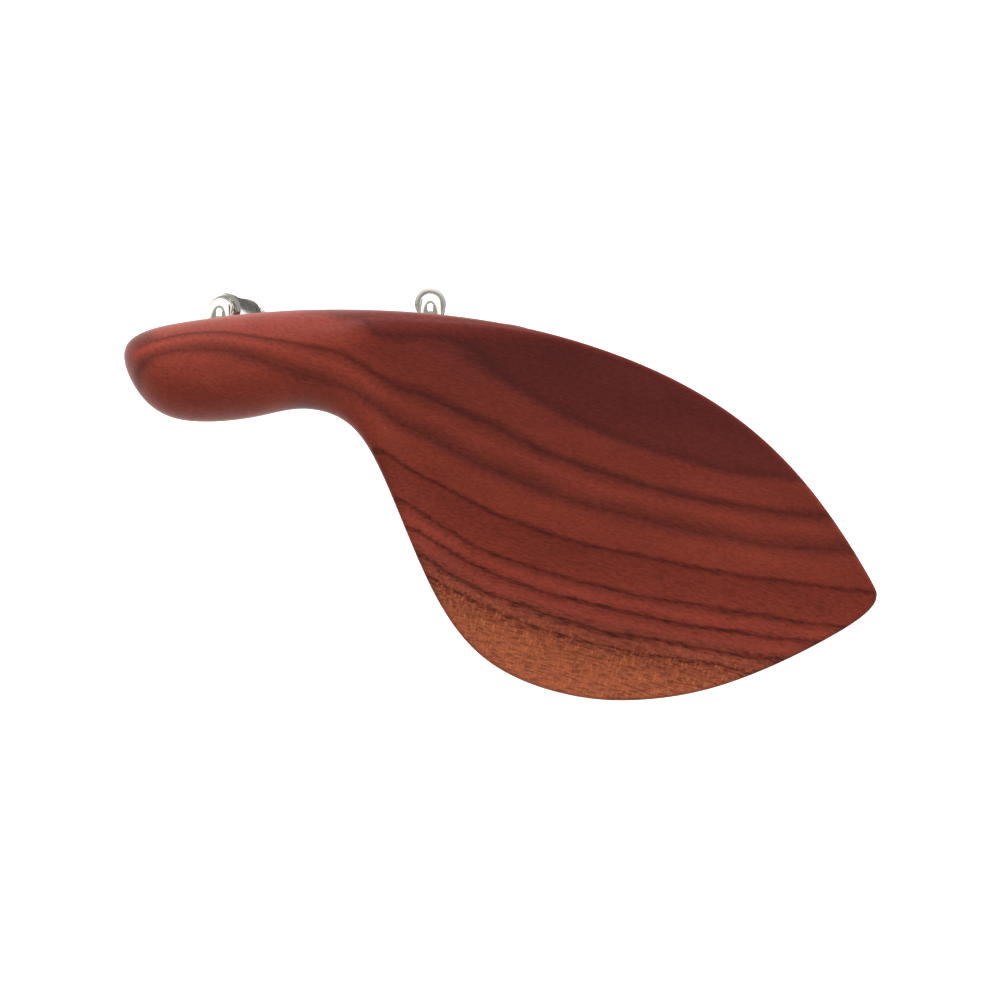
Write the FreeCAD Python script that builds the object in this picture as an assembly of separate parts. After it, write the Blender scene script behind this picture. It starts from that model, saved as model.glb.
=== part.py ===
import FreeCAD, Part

import math
import os

# A violin chin rest that clamps over the tailpiece: a carved wooden body on two cork soles, held to
# the instrument's end by two separate turnbuckle legs.
#
# Frame, in millimetres: the origin is on the violin's end edge, midway between the two legs, level
# with the violin's top. +X runs to the bass side, +Y out past the violin's end, +Z to the chin.
Vector = FreeCAD.Vector

# ---- violin that it fits
RIB_GAP = 39.0            # between the soles and the foot corks: the end block's height
LEGS = {"treble": (-16.7, 3.2), "bass": (18.3, 4.1)}      # axis of each leg, in X and Y

# ---- carved wooden body: outline seen from above, anticlockwise from the arm's end
OUTLINE = [
    (-30.7, -4.6), (-26.9, -12.6), (-19.0, -15.3), (-9.0, -14.3), (-2.4, -13.1), (4.2, -14.5),
    (9.5, -21.0), (17.2, -39.7), (27.2, -54.3), (41.0, -60.6), (52.0, -61.6), (67.0, -58.8),
    (84.0, -50.5), (89.6, -46.3), (90.9, -44.0), (89.8, -41.1), (79.9, -27.0), (63.0, -12.2),
    (41.0, -2.7), (19.0, 1.6), (-3.0, 2.3), (-18.0, 1.0), (-28.0, -1.2),
]
OUTLINE_STEPS = 900       # points along the outline for measuring distances to it

# Heights of the top surface, by distance along X: along the tail-side crest, along the scroll-side
# lip, and how far the middle sags below the line between them (less than 0 is a dome).
CREST = [(-31, 15.5), (-20, 17.4), (-8, 20.4), (4, 23.2), (15, 25.4), (28, 26.4), (45, 24.3),
         (65, 20.9), (80, 19.1), (92, 18.4)]
LIP = [(-31, 15.5), (-20, 17.2), (-8, 20.0), (4, 21.6), (15, 17.8), (28, 15.6), (45, 15.0),
       (65, 15.8), (80, 17.1), (92, 18.4)]
SAG = [(-31, 0.0), (-20, -0.6), (-8, -1.0), (4, -0.4), (15, 1.2), (28, 2.6), (45, 2.4), (65, 1.6),
       (80, 0.7), (92, 0.0)]
CREST_POWER = 3.0         # how late the hollow climbs to the crest

# Wood thickness under the crest and under the lip.
THICK_TAIL = [(-31, 8.6), (-20, 9.8), (-8, 8.6), (4, 9.4), (15, 11.0), (28, 9.0), (45, 6.4),
              (65, 5.2), (80, 4.7), (92, 4.3)]
THICK_SCROLL = [(-31, 8.6), (-20, 9.8), (-8, 8.6), (4, 9.2), (15, 6.4), (28, 4.8), (45, 4.5),
                (65, 4.4), (80, 4.4), (92, 4.3)]

# Edge rounding, as a quarter ellipse: how far in from the edge and how far down.
ROUND_TAIL = [(-31, 7.0), (-20, 7.4), (4, 7.0), (15, 6.2), (24, 4.8), (31, 2.9), (39, 1.3),
              (50, 0.9), (92, 0.9)]
ROUND_SCROLL = [(-31, 7.0), (-20, 7.4), (-5, 6.8), (6, 4.6), (14, 1.7), (22, 0.9), (92, 0.9)]
ROUND_DEPTH = 0.9         # depth of the top rounding over its width, where it is wide
UNDER_ROUND = 2.4         # width of the rounding under the edge
UNDER_ROUND_DEPTH = 1.6

# The body is skinned over sections at these X, closer together where its ends round off.
SECTION_X = [-30.5, -30.1, -29.5, -28.6, -27.2, -25.4, -23.2, -20.5, -17.0, -13.0, -9.0, -5.0,
             -1.5, 1.5, 4.0, 6.5, 9.0, 11.5, 14.0, 17.0, 20.0, 23.0, 26.0, 29.0, 32.0, 35.5, 39.5,
             44.0, 49.0, 54.0, 59.0, 64.0, 69.0, 74.0, 78.5, 82.5, 85.5, 87.6, 89.0, 89.9, 90.55]

# Points of a section, per skin: at these angles round each edge's rounding, and evenly between
EDGE_ANGLES = (0, 25, 48, 70, 90)
EDGE_SPREAD = 1.15        # the last of them lies this many widths of the rounding in
EDGE_SHARE = 0.33         # but never more than this share of the section's width
SPANS_ABOVE, SPANS_BELOW = 9, 8

# ---- feet of the body
SOLE_Z = 1.8              # cork thickness, so the wood's feet end here
# Each foot: centre and half size of its sole, then the same of the flare that runs up into the
# body, then the heights that the flare reaches at its scroll side and at its tail side.
FEET = {
    "treble": ((-19.8, -7.2), (8.2, 6.0), (-20.0, -7.1), (8.3, 6.3), (9.6, 9.6)),
    "bass": ((24.2, -9.1), (12.0, 8.6), (25.5, -11.9), (15.8, 12.3), (10.8, 20.4)),
}
FOOT_WAIST = 0.3          # how far the middle of the flare has spread towards its upper end
FOOT_WAIST_RISE = 0.55    # and how far up that is
FOOT_CORNER = 2.5         # exponent of the rounded oblong that a sole is
CORK_INSET = 0.25

# ---- routed slot in each foot for the leg's paddle
SLOT_W = 6.8
SLOT_CEILING = 5.2
SLOT_REACH = 14.6         # from the leg's axis to the slot's round end

# ---- legs, with distances in Y measured from the leg's axis towards the scroll
ROD_R = 1.75              # over the thread's crests
BEND_R = 3.3
PADDLE_W, PADDLE_T = 6.0, 1.2
PADDLE_START, PADDLE_END = 5.2, 14.0
NECK_LAP = 0.4            # the neck starts this far inside the paddle
UPPER_ROD_END_Z = -10.2
SCREW_BACK = {"tail": 7.3, "scroll": 11.5}
SCREW_R, SCREW_LENGTH = 1.2, 9.0
SCREW_TIP_L, SCREW_TIP_R = 2.0, 0.15
SCREW_HEAD_R, SCREW_HEAD_H, SCREW_HEAD_ROUND = 1.9, 1.3, 0.7
SCREW_SLOT_W, SCREW_SLOT_DEPTH = 0.6, 0.6
SCREW_CLEARANCE = 0.15

BARREL_TOP_Z, BARREL_L = -1.8, 24.0
BARREL_R, COLLAR_R = 2.5, 2.7
BARREL_BORE_R = 1.80      # the rods run in it with 0.05 to spare
BARREL_CHAMFER = 0.45
COLLAR_L = 4.0
GROOVE_R, GROOVE_W = 2.2, 0.7
KEY_HOLE_R = 1.1

LOWER_ROD_TOP_Z = -18.6
FOOT_CORK_T, FOOT_PLATE_T = 1.8, 1.2
FOOT_W, FOOT_LENGTH = 11.0, 13.0
FOOT_START = 5.8          # past the neck, which rises above the plate's underside
FOOT_CORNER_R = 2.2
RIVET_BACK = {"tail": 7.5, "scroll": 11.3}
RIVET_R, RIVET_HEAD_R, RIVET_HEAD_H, RIVET_HEAD_ROUND = 0.9, 1.6, 0.5, 0.4

TINY = 1e-9


def pchip(table):
    """A smooth curve through (x, value) pairs that never overshoots them."""
    xs, ys = [p[0] for p in table], [p[1] for p in table]
    h = [b - a for a, b in zip(xs, xs[1:])]
    slope = [(b - a) / w for a, b, w in zip(ys, ys[1:], h)]
    tangent = [slope[0]]
    for i in range(1, len(xs) - 1):
        if slope[i - 1] * slope[i] <= 0:
            tangent.append(0.0)
        else:
            w1, w2 = 2 * h[i] + h[i - 1], h[i] + 2 * h[i - 1]
            tangent.append((w1 + w2) / (w1 / slope[i - 1] + w2 / slope[i]))
    tangent.append(slope[-1])

    def value(x):
        x = min(max(x, xs[0]), xs[-1])
        i = max(k for k in range(len(h)) if xs[k] <= x)
        u = (x - xs[i]) / h[i]
        return (ys[i] * (1 + 2 * u) * (1 - u) ** 2 + tangent[i] * h[i] * u * (1 - u) ** 2
                + ys[i + 1] * u * u * (3 - 2 * u) - tangent[i + 1] * h[i] * u * u * (1 - u))

    return value


crest, lip, sag = pchip(CREST), pchip(LIP), pchip(SAG)
thick_tail, thick_scroll = pchip(THICK_TAIL), pchip(THICK_SCROLL)
round_tail, round_scroll = pchip(ROUND_TAIL), pchip(ROUND_SCROLL)


def outline_points():
    curve = Part.BSplineCurve()
    curve.interpolate(Points=[Vector(x, y, 0) for x, y in OUTLINE], PeriodicFlag=True)
    return [(p.x, p.y) for p in curve.toShape().discretize(OUTLINE_STEPS)]


EDGE = outline_points()


def sides(x):
    """(scroll side, tail side): where the outline crosses this X."""
    found = []
    for (xa, ya), (xb, yb) in zip(EDGE, EDGE[1:] + EDGE[:1]):
        if (xa - x) * (xb - x) <= 0 and abs(xa - xb) > TINY:
            found.append(ya + (yb - ya) * (x - xa) / (xb - xa))
    return min(found), max(found)


def edge_distance(x, y):
    """Distance to the nearest stretch of the outline."""
    best = 1e9
    for (xa, ya), (xb, yb) in zip(EDGE, EDGE[1:] + EDGE[:1]):
        if min(abs(xa - x), abs(ya - y)) ** 2 > best:
            continue
        dx, dy = xb - xa, yb - ya
        length = dx * dx + dy * dy
        k = min(1.0, max(0.0, ((x - xa) * dx + (y - ya) * dy) / length)) if length > TINY else 0.0
        best = min(best, (xa + k * dx - x) ** 2 + (ya + k * dy - y) ** 2)
    return math.sqrt(best)


def rounding(distance, width, depth):
    """How far a quarter ellipse has dropped at this distance in from the edge."""
    if distance >= width:
        return 0.0
    return depth * (1 - math.sqrt(max(0.0, 1 - (1 - distance / width) ** 2)))


def surfaces(x, y, scroll, tail):
    """(top, underside) heights of the body, before its feet are added."""
    t = min(1.0, max(0.0, (y - scroll) / max(tail - scroll, TINY)))
    flat = lip(x) + (crest(x) - lip(x)) * t ** CREST_POWER - sag(x) * 4 * t * (1 - t)
    width = round_scroll(x) + (round_tail(x) - round_scroll(x)) * t
    d = edge_distance(x, y)
    top = flat - rounding(d, width, ROUND_DEPTH * width)
    under = flat - thick_scroll(x) - (thick_tail(x) - thick_scroll(x)) * t
    return top, under + rounding(d, UNDER_ROUND, UNDER_ROUND_DEPTH)


def section(x):
    """Points round the body on the plane at this X, from the scroll edge over the top to the tail
    edge and back underneath, and the number of them on top."""
    scroll, tail = sides(x)
    width = tail - scroll

    def places(near_scroll, near_tail, spans):
        share = [1 - math.cos(math.radians(a)) for a in EDGE_ANGLES]
        a, b = (min(EDGE_SPREAD * w, EDGE_SHARE * width) for w in (near_scroll, near_tail))
        middle = [scroll + a + (width - a - b) * k / spans for k in range(1, spans)]
        return [scroll + a * s for s in share] + middle + [tail - b * s for s in reversed(share)]

    over = [Vector(x, y, surfaces(x, y, scroll, tail)[0])
            for y in places(round_scroll(x), round_tail(x), SPANS_ABOVE)]
    below = [Vector(x, y, surfaces(x, y, scroll, tail)[1])
             for y in places(UNDER_ROUND, UNDER_ROUND, SPANS_BELOW)]
    return over + below[::-1], len(over)


def running_share(steps):
    """Running total of these steps, scaled to end at 1."""
    total = [0.0]
    for step in steps:
        total.append(total[-1] + step)
    return [t / total[-1] for t in total]


def skin(curves, stations):
    """Surface through curves that share one knot sequence."""
    poles = []
    for k in range(curves[0].NbPoles):
        rail = Part.BSplineCurve()
        rail.interpolate(Points=[c.getPole(k + 1) for c in curves], Parameters=stations)
        poles.append(rail.getPoles())
    surface = Part.BSplineSurface()
    surface.buildFromPolesMultsKnots(
        poles, curves[0].getMultiplicities(), rail.getMultiplicities(),
        curves[0].getKnots(), rail.getKnots(), False, False, curves[0].Degree, rail.Degree)
    return surface.toShape()


def carved_block():
    """The body without its feet: a top skin and an underside skin that meet round the rim."""
    loops, counts = zip(*(section(x) for x in SECTION_X))
    around = range(len(loops[0]))
    steps = [0.0] * len(loops[0])
    for loop in loops:
        chord = [loop[k].distanceToPoint(loop[k - 1]) for k in around]
        steps = [s + math.sqrt(c / sum(chord)) for s, c in zip(steps, chord[1:] + chord[:1])]
    knots = running_share(steps)
    stations = running_share([sum(a.distanceToPoint(b) for a, b in zip(one, other))
                              for one, other in zip(loops, loops[1:])])
    rings = []
    for loop in loops:
        ring = Part.BSplineCurve()
        ring.interpolate(Points=loop, PeriodicFlag=True, Parameters=knots)
        rings.append(ring)
    faces, ends = [], [[], []]
    for first, last in ((0.0, knots[counts[0] - 1]), (knots[counts[0] - 1], 1.0)):
        halves = [ring.copy() for ring in rings]
        for half in halves:
            half.segment(first, last)
        faces.append(skin(halves, stations))
        ends[0].append(halves[0].toShape())
        ends[1].append(halves[-1].toShape())
    faces += [Part.Face(Part.Wire(end)) for end in ends]
    hull = Part.makeCompound(faces)
    hull.sewShape(1e-5)
    block = Part.Solid(hull.Shells[0])
    if block.Volume < 0:
        block.reverse()
    return block


def box(x0, y0, z0, x1, y1, z1):
    return Part.makeBox(x1 - x0, y1 - y0, z1 - z0, Vector(x0, y0, z0))


def cylinder(radius, height, base, direction=(0, 0, 1)):
    return Part.makeCylinder(radius, height, Vector(*base), Vector(*direction))


def flat_edges(shape, z):
    """The shape's edges that lie at this height."""
    return [e for e in shape.Edges
            if abs(e.BoundBox.ZMin - z) < 1e-6 and abs(e.BoundBox.ZMax - z) < 1e-6]


def oblong(centre, half, height, steps=28, corner=FOOT_CORNER):
    """A rounded oblong wire. height is (at its scroll side, at its tail side)."""
    points = []
    for k in range(steps):
        a = 2 * math.pi * k / steps
        c, s = math.cos(a), math.sin(a)
        y = half[1] * math.copysign(abs(s) ** (2 / corner), s)
        up = height[0] + (height[1] - height[0]) * (y + half[1]) / (2 * half[1])
        points.append(Vector(centre[0] + half[0] * math.copysign(abs(c) ** (2 / corner), c),
                             centre[1] + y, up))
    curve = Part.BSplineCurve()
    curve.interpolate(Points=points, PeriodicFlag=True)
    return Part.Wire([curve.toShape()])


def foot(name):
    """A foot that flares from its sole up into the body."""
    low, low_half, high, high_half, rise = FEET[name]
    waist = [a + (b - a) * FOOT_WAIST for a, b in zip(low, high)]
    waist_half = [a + (b - a) * FOOT_WAIST for a, b in zip(low_half, high_half)]
    middle = [SOLE_Z + (r - SOLE_Z) * FOOT_WAIST_RISE for r in rise]
    wires = [oblong(low, low_half, (SOLE_Z, SOLE_Z)), oblong(waist, waist_half, middle),
             oblong(high, high_half, rise)]
    return Part.makeLoft(wires, True, False)


def slot(leg, margin=0.0):
    """The routed slot that a leg's paddle lies in, open at the tail side."""
    x, y = leg
    half = SLOT_W / 2 + margin
    end = y - SLOT_REACH + SLOT_W / 2
    low = -1.0
    straight = box(x - half, end, low, x + half, y, SLOT_CEILING)
    return straight.fuse(cylinder(half, SLOT_CEILING - low, (x, end, low)))


def wood_screw(leg, back):
    """A slotted pan-head screw driven up through the paddle."""
    x, y = leg[0], leg[1] - back
    seat = SLOT_CEILING - PADDLE_T
    bottom = seat - SCREW_HEAD_H
    head = cylinder(SCREW_HEAD_R, SCREW_HEAD_H, (x, y, bottom))
    head = head.makeFillet(SCREW_HEAD_ROUND, flat_edges(head, bottom))
    half = SCREW_SLOT_W / 2
    cut = box(x - SCREW_HEAD_R, y - half, bottom - 1, x + SCREW_HEAD_R, y + half,
              bottom + SCREW_SLOT_DEPTH)
    shank = cylinder(SCREW_R, SCREW_LENGTH - SCREW_TIP_L, (x, y, seat))
    tip = Part.makeCone(SCREW_R, SCREW_TIP_R, SCREW_TIP_L,
                        Vector(x, y, seat + SCREW_LENGTH - SCREW_TIP_L))
    return head.cut(cut).fuse([shank, tip]).removeSplitter()


def chin_plate():
    body = carved_block()
    for name, leg in LEGS.items():
        body = body.fuse(foot(name)).cut(slot(leg))
        for back in SCREW_BACK.values():
            body = body.cut(wood_screw(leg, back))
    return body


def sole_cork(name):
    centre, half = FEET[name][0], [h - CORK_INSET for h in FEET[name][1]]
    pad = Part.Face(oblong(centre, half, (0, 0))).extrude(Vector(0, 0, SOLE_Z))
    return pad.cut(slot(LEGS[name], CORK_INSET))


def paddle(leg, seat):
    """Flattened end of a rod, with its upper face at this height."""
    x, y = leg
    half = PADDLE_W / 2
    end = y - PADDLE_END + half
    low = seat - PADDLE_T
    plate = box(x - half, end, low, x + half, y - PADDLE_START, seat)
    return plate.fuse(cylinder(half, PADDLE_T, (x, end, low)))


def forged_neck(leg, seat, rod_z):
    """Loft from the paddle's flat section to the round rod."""
    x, y = leg
    r = PADDLE_T / 2 * 0.98
    reach = PADDLE_W / 2 - r
    start = Vector(x, y - PADDLE_START - NECK_LAP, seat - PADDLE_T / 2)
    a, b = start - Vector(reach, 0, 0), start + Vector(reach, 0, 0)
    up, out = Vector(0, 0, r), Vector(r, 0, 0)
    flat_end = Part.Wire([
        Part.LineSegment(a + up, b + up).toShape(),
        Part.Arc(b + up, b + out, b - up).toShape(),
        Part.LineSegment(b - up, a - up).toShape(),
        Part.Arc(a - up, a - out, a + up).toShape(),
    ])

    def on(degrees):
        angle = math.radians(degrees)
        return Vector(x + ROD_R * math.cos(angle), y - BEND_R, rod_z + ROD_R * math.sin(angle))

    arcs = [(132, 90, 48), (48, 0, -48), (-48, -90, -132), (-132, 180, 132)]
    round_end = Part.Wire([Part.Arc(*(on(d) for d in arc)).toShape() for arc in arcs])
    return Part.makeLoft([flat_end, round_end], True, True)


def elbow(leg, rod_z, side):
    """Quarter bend. side is -1 when the rod goes down after it and +1 when it goes up."""
    x, y = leg
    start = Vector(x, y - BEND_R, rod_z)
    half_way = math.radians(45)
    middle = start + Vector(0, BEND_R * math.sin(half_way), side * BEND_R * (1 - math.cos(half_way)))
    path = Part.Wire([Part.Arc(start, middle, start + Vector(0, BEND_R, side * BEND_R)).toShape()])
    ring = Part.Wire([Part.makeCircle(ROD_R, start, Vector(0, 1, 0))])
    return path.makePipeShell([ring], True, False)


def bracket(leg, seat, rod_z, side, end_z, holes, hole_r):
    """A threaded rod, bent and forged flat. side is -1 when it hangs down and +1 when it
    stands up, and end_z is where it ends."""
    bend_end = rod_z + side * BEND_R
    straight = cylinder(ROD_R, abs(end_z - bend_end), (*leg, min(end_z, bend_end)))
    rod = paddle(leg, seat).fuse(
        [forged_neck(leg, seat, rod_z), elbow(leg, rod_z, side), straight])
    for back in holes.values():
        rod = rod.cut(cylinder(hole_r, 3 * PADDLE_T, (leg[0], leg[1] - back, seat - 2 * PADDLE_T)))
    return rod.removeSplitter()


def upper_rod(leg):
    return bracket(leg, SLOT_CEILING, SLOT_CEILING - ROD_R, -1, UPPER_ROD_END_Z, SCREW_BACK,
                   SCREW_R + SCREW_CLEARANCE)


# Levels of the lower jaw: the top and underside of the foot plate, and the paddle's underside
PLATE_TOP = -RIB_GAP - FOOT_CORK_T
PLATE_BOTTOM = PLATE_TOP - FOOT_PLATE_T
PADDLE_BOTTOM = PLATE_BOTTOM - PADDLE_T


def lower_rod(leg):
    return bracket(leg, PLATE_BOTTOM, PADDLE_BOTTOM + ROD_R, 1, LOWER_ROD_TOP_Z, RIVET_BACK,
                   RIVET_R)


def foot_slab(leg, z, thickness, inset):
    x, tail = leg[0], leg[1] - FOOT_START
    half = FOOT_W / 2 - inset
    slab = box(x - half, tail - FOOT_LENGTH + inset, z, x + half, tail - inset, z + thickness)
    uprights = [e for e in slab.Edges if e.BoundBox.ZLength > thickness / 2]
    return slab.makeFillet(FOOT_CORNER_R - inset, uprights)


def foot_plate(leg):
    plate = foot_slab(leg, PLATE_BOTTOM, FOOT_PLATE_T, 0)
    for back in RIVET_BACK.values():
        plate = plate.cut(cylinder(RIVET_R, FOOT_PLATE_T, (leg[0], leg[1] - back, PLATE_BOTTOM)))
    return plate


def foot_cork(leg):
    return foot_slab(leg, PLATE_TOP, FOOT_CORK_T, CORK_INSET)


def rivet(leg, back):
    """A rivet with a low round head under the paddle, filed flush on top of the plate."""
    x, y = leg[0], leg[1] - back
    shank = cylinder(RIVET_R, PLATE_TOP - PADDLE_BOTTOM, (x, y, PADDLE_BOTTOM))
    head = cylinder(RIVET_HEAD_R, RIVET_HEAD_H, (x, y, PADDLE_BOTTOM - RIVET_HEAD_H))
    rim = flat_edges(head, PADDLE_BOTTOM - RIVET_HEAD_H)
    return shank.fuse(head.makeFillet(RIVET_HEAD_ROUND, rim)).removeSplitter()


def barrel(leg):
    """Turnbuckle barrel: a tube with a collar and a groove at each end and a cross hole."""
    x, y = leg
    bottom = BARREL_TOP_Z - BARREL_L
    c = BARREL_CHAMFER
    profile = [(BARREL_BORE_R, 0), (COLLAR_R - c, 0), (COLLAR_R, c), (COLLAR_R, COLLAR_L),
               (GROOVE_R, COLLAR_L), (GROOVE_R, COLLAR_L + GROOVE_W),
               (BARREL_R, COLLAR_L + GROOVE_W)]
    profile += [(r, BARREL_L - z) for r, z in reversed(profile)]
    points = [Vector(x + r, y, bottom + z) for r, z in profile]
    face = Part.Face(Part.makePolygon(points + points[:1]))
    tube = face.revolve(Vector(x, y, 0), Vector(0, 0, 1), 360)
    reach = 2 * COLLAR_R
    return tube.cut(cylinder(KEY_HOLE_R, 2 * reach, (x, y - reach, bottom + BARREL_L / 2),
                             (0, 1, 0)))


def nodes():
    made = {"chin_plate": chin_plate()}
    for name, leg in LEGS.items():
        made[f"{name}_sole_cork"] = sole_cork(name)
        made[f"{name}_upper_rod"] = upper_rod(leg)
        made[f"{name}_barrel"] = barrel(leg)
        made[f"{name}_lower_rod"] = lower_rod(leg)
        made[f"{name}_foot_plate"] = foot_plate(leg)
        made[f"{name}_foot_cork"] = foot_cork(leg)
        for end, back in SCREW_BACK.items():
            made[f"{name}_{end}_screw"] = wood_screw(leg, back)
        for end, back in RIVET_BACK.items():
            made[f"{name}_{end}_rivet"] = rivet(leg, back)
    return made


os.makedirs("parts", exist_ok=True)
for node, shape in nodes().items():
    shape.exportStep(f"parts/{node}.step")
    print(node, "solids", len(shape.Solids), "valid", shape.isValid(), "mm3", round(shape.Volume, 1))
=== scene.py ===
import math

import bmesh
import bpy
import numpy as np
from mathutils import Matrix, Vector


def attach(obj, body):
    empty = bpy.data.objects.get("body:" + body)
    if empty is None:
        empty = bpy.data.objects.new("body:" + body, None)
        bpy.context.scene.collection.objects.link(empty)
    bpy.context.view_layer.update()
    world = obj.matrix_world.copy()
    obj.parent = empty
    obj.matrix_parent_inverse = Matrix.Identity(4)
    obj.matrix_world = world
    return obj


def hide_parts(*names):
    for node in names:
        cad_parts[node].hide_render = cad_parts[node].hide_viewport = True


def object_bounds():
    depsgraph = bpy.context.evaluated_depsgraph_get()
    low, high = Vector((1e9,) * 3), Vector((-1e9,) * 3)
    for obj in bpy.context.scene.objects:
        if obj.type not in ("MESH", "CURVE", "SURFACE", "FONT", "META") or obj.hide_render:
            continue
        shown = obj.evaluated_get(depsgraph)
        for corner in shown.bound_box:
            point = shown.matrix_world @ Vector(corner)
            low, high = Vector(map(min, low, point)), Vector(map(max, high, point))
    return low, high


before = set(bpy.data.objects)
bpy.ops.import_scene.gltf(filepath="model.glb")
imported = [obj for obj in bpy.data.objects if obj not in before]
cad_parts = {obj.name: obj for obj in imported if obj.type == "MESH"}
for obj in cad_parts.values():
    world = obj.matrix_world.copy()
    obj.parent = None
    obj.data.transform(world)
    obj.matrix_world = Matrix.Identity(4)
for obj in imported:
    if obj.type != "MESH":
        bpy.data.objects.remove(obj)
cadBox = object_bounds()

mm = 0.001      # the tables below are in millimetres, Blender is in metres


def smoothCurve(pairs):
    # a cubic through (x, value) pairs whose slope at each pair is the weighted harmonic mean of its
    # neighbours' slopes, so that it never overshoots them
    xs, ys = np.array(pairs, float).T
    h = np.diff(xs)
    slope = np.diff(ys) / h
    w1, w2 = 2 * h[1:] + h[:-1], h[1:] + 2 * h[:-1]
    with np.errstate(divide="ignore", invalid="ignore"):
        mean = (w1 + w2) / (w1 / slope[:-1] + w2 / slope[1:])
    inner = np.where(slope[:-1] * slope[1:] > 0, mean, 0.0)
    tangent = np.concatenate([slope[:1], inner, slope[-1:]])

    def value(x):
        x = np.clip(x, xs[0], xs[-1])
        i = np.clip(np.searchsorted(xs, x, side="right") - 1, 0, len(h) - 1)
        u = (x - xs[i]) / h[i]
        return (ys[i] * (1 + 2 * u) * (1 - u) ** 2 + tangent[i] * h[i] * u * (1 - u) ** 2
                + ys[i + 1] * u * u * (3 - 2 * u) - tangent[i + 1] * h[i] * u * u * (1 - u))

    return value


def closedSpline(points, perSpan):
    # the closed cubic through these points with a continuous bend: its tangents solve one linear
    # equation per point, weighted by the root of the chord on each side
    p = np.array(points, float)
    n = len(p)
    after = np.sqrt(np.linalg.norm(np.roll(p, -1, 0) - p, axis=1))[:, None]
    before = np.roll(after, 1, 0)
    chord = (np.roll(p, -1, 0) - p) / after
    i = np.arange(n)
    system = np.diag(2 * (before + after)[:, 0])
    system[i, (i - 1) % n] += after[:, 0]
    system[i, (i + 1) % n] += before[:, 0]
    tangent = np.linalg.solve(system, 3 * (after * np.roll(chord, 1, 0) + before * chord))
    s = np.linspace(0, 1, perSpan, endpoint=False)[None, :, None]
    a, b = p[:, None], np.roll(p, -1, 0)[:, None]
    ta, tb = (tangent * after)[:, None], (np.roll(tangent, -1, 0) * after)[:, None]
    curve = (a * (1 + 2 * s) * (1 - s) ** 2 + ta * s * (1 - s) ** 2
             + b * s * s * (3 - 2 * s) - tb * s * s * (1 - s))
    return curve.reshape(-1, 2)


def gridFaces(rows, columns, closed=True):
    # quads between neighbouring rows; closed joins the last column to the first
    i, j = np.meshgrid(np.arange(rows - 1), np.arange(columns if closed else columns - 1), indexing="ij")
    k = (j + 1) % columns
    return np.stack([i * columns + j, i * columns + k, (i + 1) * columns + k, (i + 1) * columns + j],
                    -1).reshape(-1, 4)


def closeGrid(points, capEnds=True):
    # a closed tube from points[row, column, xyz]; each end gets one flat face
    rows, columns = points.shape[:2]
    faces = gridFaces(rows, columns).tolist()
    if capEnds:
        faces += [list(range(columns))[::-1], list(range((rows - 1) * columns, rows * columns))]
    return points.reshape(-1, 3), faces


def makeMesh(name, points, faces):
    mesh = bpy.data.meshes.new(name)
    mesh.from_pydata((np.asarray(points) * mm).tolist(), [], faces)
    shape = bmesh.new()
    shape.from_mesh(mesh)
    bmesh.ops.remove_doubles(shape, verts=shape.verts, dist=1e-7)
    bmesh.ops.dissolve_degenerate(shape, edges=shape.edges, dist=1e-8)
    bmesh.ops.recalc_face_normals(shape, faces=shape.faces)
    shape.to_mesh(mesh)
    shape.free()
    piece = bpy.data.objects.new(name, mesh)
    bpy.context.scene.collection.objects.link(piece)
    return piece


def combine(piece, other, how):
    # solid union or difference, applied at once; the tool goes
    step = piece.modifiers.new(how.lower(), "BOOLEAN")
    step.object, step.operation, step.solver = other, how, "MANIFOLD"
    bpy.context.view_layer.update()
    done = bpy.data.meshes.new_from_object(piece.evaluated_get(bpy.context.evaluated_depsgraph_get()))
    piece.modifiers.clear()
    piece.data = done
    bpy.data.objects.remove(other)


def dress(piece, body, material, replaced, sharp=40):
    piece.data.materials.clear()
    piece.data.materials.append(material)
    piece.data.shade_smooth()
    piece.data.set_sharp_from_angle(angle=math.radians(sharp))
    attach(piece, body)
    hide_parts(*replaced)


def linear(hexColour):
    # an sRGB hex colour as the linear values that shaders take
    part = [int(hexColour[i:i + 2], 16) / 255 for i in (0, 2, 4)]
    return [v / 12.92 if v <= 0.04045 else ((v + 0.055) / 1.055) ** 2.4 for v in part] + [1.0]


def newMaterial(name):
    material = bpy.data.materials.new(name)
    material.use_nodes = True
    tree = material.node_tree
    shader = tree.nodes["Principled BSDF"]
    return material, tree, shader


def node(tree, kind, links=None, **settings):
    # adds one node: settings are its properties, links maps an input's name or number to a socket
    # to join or a value to set
    made = tree.nodes.new(kind)
    for key, value in settings.items():
        setattr(made, key, value)
    for key, value in (links or {}).items():
        if isinstance(value, bpy.types.NodeSocket):
            tree.links.new(value, made.inputs[key])
        else:
            made.inputs[key].default_value = value
    return made


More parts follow.
